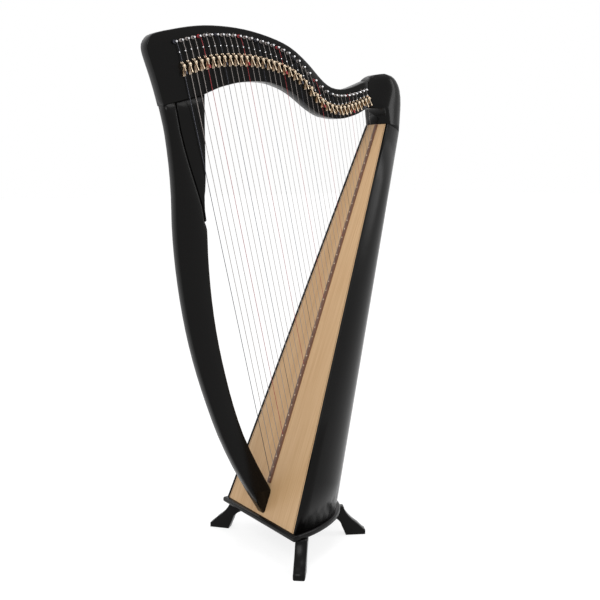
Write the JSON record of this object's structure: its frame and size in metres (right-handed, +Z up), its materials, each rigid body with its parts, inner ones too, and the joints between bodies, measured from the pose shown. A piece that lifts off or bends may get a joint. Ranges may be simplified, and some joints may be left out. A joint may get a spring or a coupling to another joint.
{
  "type": "lever harp",
  "caption": "Floor-standing lever harp: round-backed soundbox on a footed base, curved pillar, harmonic-curve neck, strings, tuning pins and a sharpening lever for each string.",
  "frame": {"origin": "on the floor, under the middle of the harp's box", "axes": "+Z up, +X from the pillar to the soundbox and the player, -Y the side with the levers"},
  "size_m": [0.8661, 0.5132, 1.517],
  "materials": {
    "lacquer": "black satin lacquer",
    "spruce": "clear satin varnish",
    "walnut": "oiled",
    "inner_wood": "bare",
    "brass": "polished",
    "steel": "plated"
  },
  "bodies": {
    "harp_frame": {"base_board": "lacquer", "brace_1": "inner_wood", "brace_2": "inner_wood", "brace_3": "inner_wood", "foot_front_far_side": "lacquer", "foot_front_lever_side": "lacquer", "foot_rear_far_side": "lacquer", "foot_rear_lever_side": "lacquer", "inner_string_rib": "inner_wood", "knee_block": "lacquer", "lining_far_side": "inner_wood", "lining_lever_side": "inner_wood", "neck": "lacquer", "pillar": "lacquer", "pillar_bolt": "steel", "shoulder_block": "lacquer", "soundboard": "spruce", "soundbox_shell": "lacquer", "string_rib": "walnut", "tail_block": "inner_wood"},
    "lever_01": {"lever_01": "brass"},
    "lever_02": {"lever_02": "brass"},
    "lever_03": {"lever_03": "brass"},
    "lever_04": {"lever_04": "brass"},
    "lever_05": {"lever_05": "brass"},
    "lever_06": {"lever_06": "brass"},
    "lever_07": {"lever_07": "brass"},
    "lever_08": {"lever_08": "brass"},
    "lever_09": {"lever_09": "brass"},
    "lever_10": {"lever_10": "brass"},
    "lever_11": {"lever_11": "brass"},
    "lever_12": {"lever_12": "brass"},
    "lever_13": {"lever_13": "brass"},
    "lever_14": {"lever_14": "brass"},
    "lever_15": {"lever_15": "brass"},
    "lever_16": {"lever_16": "brass"},
    "lever_17": {"lever_17": "brass"},
    "lever_18": {"lever_18": "brass"},
    "lever_19": {"lever_19": "brass"},
    "lever_20": {"lever_20": "brass"},
    "lever_21": {"lever_21": "brass"},
    "lever_22": {"lever_22": "brass"},
    "lever_23": {"lever_23": "brass"},
    "lever_24": {"lever_24": "brass"},
    "lever_25": {"lever_25": "brass"},
    "lever_26": {"lever_26": "brass"},
    "lever_27": {"lever_27": "brass"},
    "lever_28": {"lever_28": "brass"},
    "lever_29": {"lever_29": "brass"},
    "lever_30": {"lever_30": "brass"},
    "lever_31": {"lever_31": "brass"},
    "lever_32": {"lever_32": "brass"},
    "lever_33": {"lever_33": "brass"},
    "lever_34": {"lever_34": "brass"},
    "lever_35": {"lever_35": "brass"},
    "lever_36": {"lever_36": "brass"},
    "lever_37": {"lever_37": "brass"},
    "lever_38": {"lever_38": "brass"}
  },
  "joints": [
    {"name": "lever_01_turn", "type": "hinge", "parent": "harp_frame", "child": "lever_01", "pos_m": [-0.33444, -0.03456, 1.40302], "axis": [-0.9724, 0, -0.2335], "range_deg": [0, 110]},
    {"name": "lever_02_turn", "type": "hinge", "parent": "harp_frame", "child": "lever_02", "pos_m": [-0.31687, -0.03456, 1.40879], "axis": [-0.9724, 0, -0.2335], "range_deg": [0, 110]},
    {"name": "lever_03_turn", "type": "hinge", "parent": "harp_frame", "child": "lever_03", "pos_m": [-0.29941, -0.03456, 1.41444], "axis": [-0.9724, 0, -0.2335], "range_deg": [0, 110]},
    {"name": "lever_04_turn", "type": "hinge", "parent": "harp_frame", "child": "lever_04", "pos_m": [-0.28197, -0.03456, 1.41956], "axis": [-0.9723, 0, -0.2336], "range_deg": [0, 110]},
    {"name": "lever_05_turn", "type": "hinge", "parent": "harp_frame", "child": "lever_05", "pos_m": [-0.26451, -0.03456, 1.42402], "axis": [-0.9723, 0, -0.2336], "range_deg": [0, 110]},
    {"name": "lever_06_turn", "type": "hinge", "parent": "harp_frame", "child": "lever_06", "pos_m": [-0.24704, -0.03456, 1.42789], "axis": [-0.9723, 0, -0.2337], "range_deg": [0, 110]},
    {"name": "lever_07_turn", "type": "hinge", "parent": "harp_frame", "child": "lever_07", "pos_m": [-0.22956, -0.03456, 1.43111], "axis": [-0.9723, 0, -0.2338], "range_deg": [0, 110]},
    {"name": "lever_08_turn", "type": "hinge", "parent": "harp_frame", "child": "lever_08", "pos_m": [-0.21206, -0.03456, 1.43366], "axis": [-0.9723, 0, -0.2339], "range_deg": [0, 110]},
    {"name": "lever_09_turn", "type": "hinge", "parent": "harp_frame", "child": "lever_09", "pos_m": [-0.19454, -0.03456, 1.43556], "axis": [-0.9722, 0, -0.234], "range_deg": [0, 110]},
    {"name": "lever_10_turn", "type": "hinge", "parent": "harp_frame", "child": "lever_10", "pos_m": [-0.17703, -0.03455, 1.4369], "axis": [-0.9722, 0, -0.2341], "range_deg": [0, 110]},
    {"name": "lever_11_turn", "type": "hinge", "parent": "harp_frame", "child": "lever_11", "pos_m": [-0.15953, -0.03455, 1.4377], "axis": [-0.9722, 0, -0.2343], "range_deg": [0, 110]},
    {"name": "lever_12_turn", "type": "hinge", "parent": "harp_frame", "child": "lever_12", "pos_m": [-0.14201, -0.03455, 1.43786], "axis": [-0.9721, 0, -0.2345], "range_deg": [0, 110]},
    {"name": "lever_13_turn", "type": "hinge", "parent": "harp_frame", "child": "lever_13", "pos_m": [-0.12447, -0.03455, 1.43735], "axis": [-0.9721, 0, -0.2347], "range_deg": [0, 110]},
    {"name": "lever_14_turn", "type": "hinge", "parent": "harp_frame", "child": "lever_14", "pos_m": [-0.10693, -0.03455, 1.43623], "axis": [-0.972, 0, -0.235], "range_deg": [0, 110]},
    {"name": "lever_15_turn", "type": "hinge", "parent": "harp_frame", "child": "lever_15", "pos_m": [-0.08938, -0.03454, 1.43451], "axis": [-0.9719, 0, -0.2352], "range_deg": [0, 110]},
    {"name": "lever_16_turn", "type": "hinge", "parent": "harp_frame", "child": "lever_16", "pos_m": [-0.07182, -0.03454, 1.43217], "axis": [-0.9719, 0, -0.2356], "range_deg": [0, 110]},
    {"name": "lever_17_turn", "type": "hinge", "parent": "harp_frame", "child": "lever_17", "pos_m": [-0.05424, -0.03454, 1.42914], "axis": [-0.9718, 0, -0.2359], "range_deg": [0, 110]},
    {"name": "lever_18_turn", "type": "hinge", "parent": "harp_frame", "child": "lever_18", "pos_m": [-0.03664, -0.03453, 1.4255], "axis": [-0.9717, 0, -0.2363], "range_deg": [0, 110]},
    {"name": "lever_19_turn", "type": "hinge", "parent": "harp_frame", "child": "lever_19", "pos_m": [-0.01901, -0.03453, 1.42108], "axis": [-0.9716, 0, -0.2368], "range_deg": [0, 110]},
    {"name": "lever_20_turn", "type": "hinge", "parent": "harp_frame", "child": "lever_20", "pos_m": [-0.0012, -0.03453, 1.41538], "axis": [-0.9714, 0, -0.2374], "range_deg": [0, 110]},
    {"name": "lever_21_turn", "type": "hinge", "parent": "harp_frame", "child": "lever_21", "pos_m": [0.01704, -0.03452, 1.40733], "axis": [-0.9713, 0, -0.238], "range_deg": [0, 110]},
    {"name": "lever_22_turn", "type": "hinge", "parent": "harp_frame", "child": "lever_22", "pos_m": [0.03582, -0.03452, 1.39647], "axis": [-0.9711, 0, -0.2388], "range_deg": [0, 110]},
    {"name": "lever_23_turn", "type": "hinge", "parent": "harp_frame", "child": "lever_23", "pos_m": [0.05514, -0.03451, 1.38281], "axis": [-0.9709, 0, -0.2397], "range_deg": [0, 110]},
    {"name": "lever_24_turn", "type": "hinge", "parent": "harp_frame", "child": "lever_24", "pos_m": [0.07529, -0.0345, 1.36517], "axis": [-0.9706, 0, -0.2408], "range_deg": [0, 110]},
    {"name": "lever_25_turn", "type": "hinge", "parent": "harp_frame", "child": "lever_25", "pos_m": [0.09552, -0.03449, 1.34658], "axis": [-0.9702, 0, -0.2421], "range_deg": [0, 110]},
    {"name": "lever_26_turn", "type": "hinge", "parent": "harp_frame", "child": "lever_26", "pos_m": [0.11418, -0.03448, 1.33387], "axis": [-0.9699, 0, -0.2437], "range_deg": [0, 110]},
    {"name": "lever_27_turn", "type": "hinge", "parent": "harp_frame", "child": "lever_27", "pos_m": [0.13187, -0.03447, 1.32463], "axis": [-0.9694, 0, -0.2455], "range_deg": [0, 110]},
    {"name": "lever_28_turn", "type": "hinge", "parent": "harp_frame", "child": "lever_28", "pos_m": [0.14869, -0.03445, 1.31834], "axis": [-0.9688, 0, -0.2477], "range_deg": [0, 110]},
    {"name": "lever_29_turn", "type": "hinge", "parent": "harp_frame", "child": "lever_29", "pos_m": [0.16468, -0.03444, 1.3149], "axis": [-0.9682, 0, -0.2502], "range_deg": [0, 110]},
    {"name": "lever_30_turn", "type": "hinge", "parent": "harp_frame", "child": "lever_30", "pos_m": [0.17997, -0.03436, 1.31384], "axis": [-0.9675, 0, -0.2531], "range_deg": [0, 110]},
    {"name": "lever_31_turn", "type": "hinge", "parent": "harp_frame", "child": "lever_31", "pos_m": [0.19442, -0.03427, 1.31562], "axis": [-0.9666, 0, -0.2563], "range_deg": [0, 110]},
    {"name": "lever_32_turn", "type": "hinge", "parent": "harp_frame", "child": "lever_32", "pos_m": [0.20843, -0.03418, 1.3187], "axis": [-0.9656, 0, -0.26], "range_deg": [0, 110]},
    {"name": "lever_33_turn", "type": "hinge", "parent": "harp_frame", "child": "lever_33", "pos_m": [0.22214, -0.03407, 1.32244], "axis": [-0.9644, 0, -0.2644], "range_deg": [0, 110]},
    {"name": "lever_34_turn", "type": "hinge", "parent": "harp_frame", "child": "lever_34", "pos_m": [0.23566, -0.03395, 1.32645], "axis": [-0.963, 0, -0.2696], "range_deg": [0, 110]},
    {"name": "lever_35_turn", "type": "hinge", "parent": "harp_frame", "child": "lever_35", "pos_m": [0.24891, -0.0338, 1.33099], "axis": [-0.9612, 0, -0.2758], "range_deg": [0, 110]},
    {"name": "lever_36_turn", "type": "hinge", "parent": "harp_frame", "child": "lever_36", "pos_m": [0.26198, -0.03363, 1.33577], "axis": [-0.959, 0, -0.2834], "range_deg": [0, 110]},
    {"name": "lever_37_turn", "type": "hinge", "parent": "harp_frame", "child": "lever_37", "pos_m": [0.27495, -0.03342, 1.34045], "axis": [-0.9561, 0, -0.2929], "range_deg": [0, 110]},
    {"name": "lever_38_turn", "type": "hinge", "parent": "harp_frame", "child": "lever_38", "pos_m": [0.2878, -0.03316, 1.34521], "axis": [-0.9524, 0, -0.305], "range_deg": [0, 110]}
  ]
}
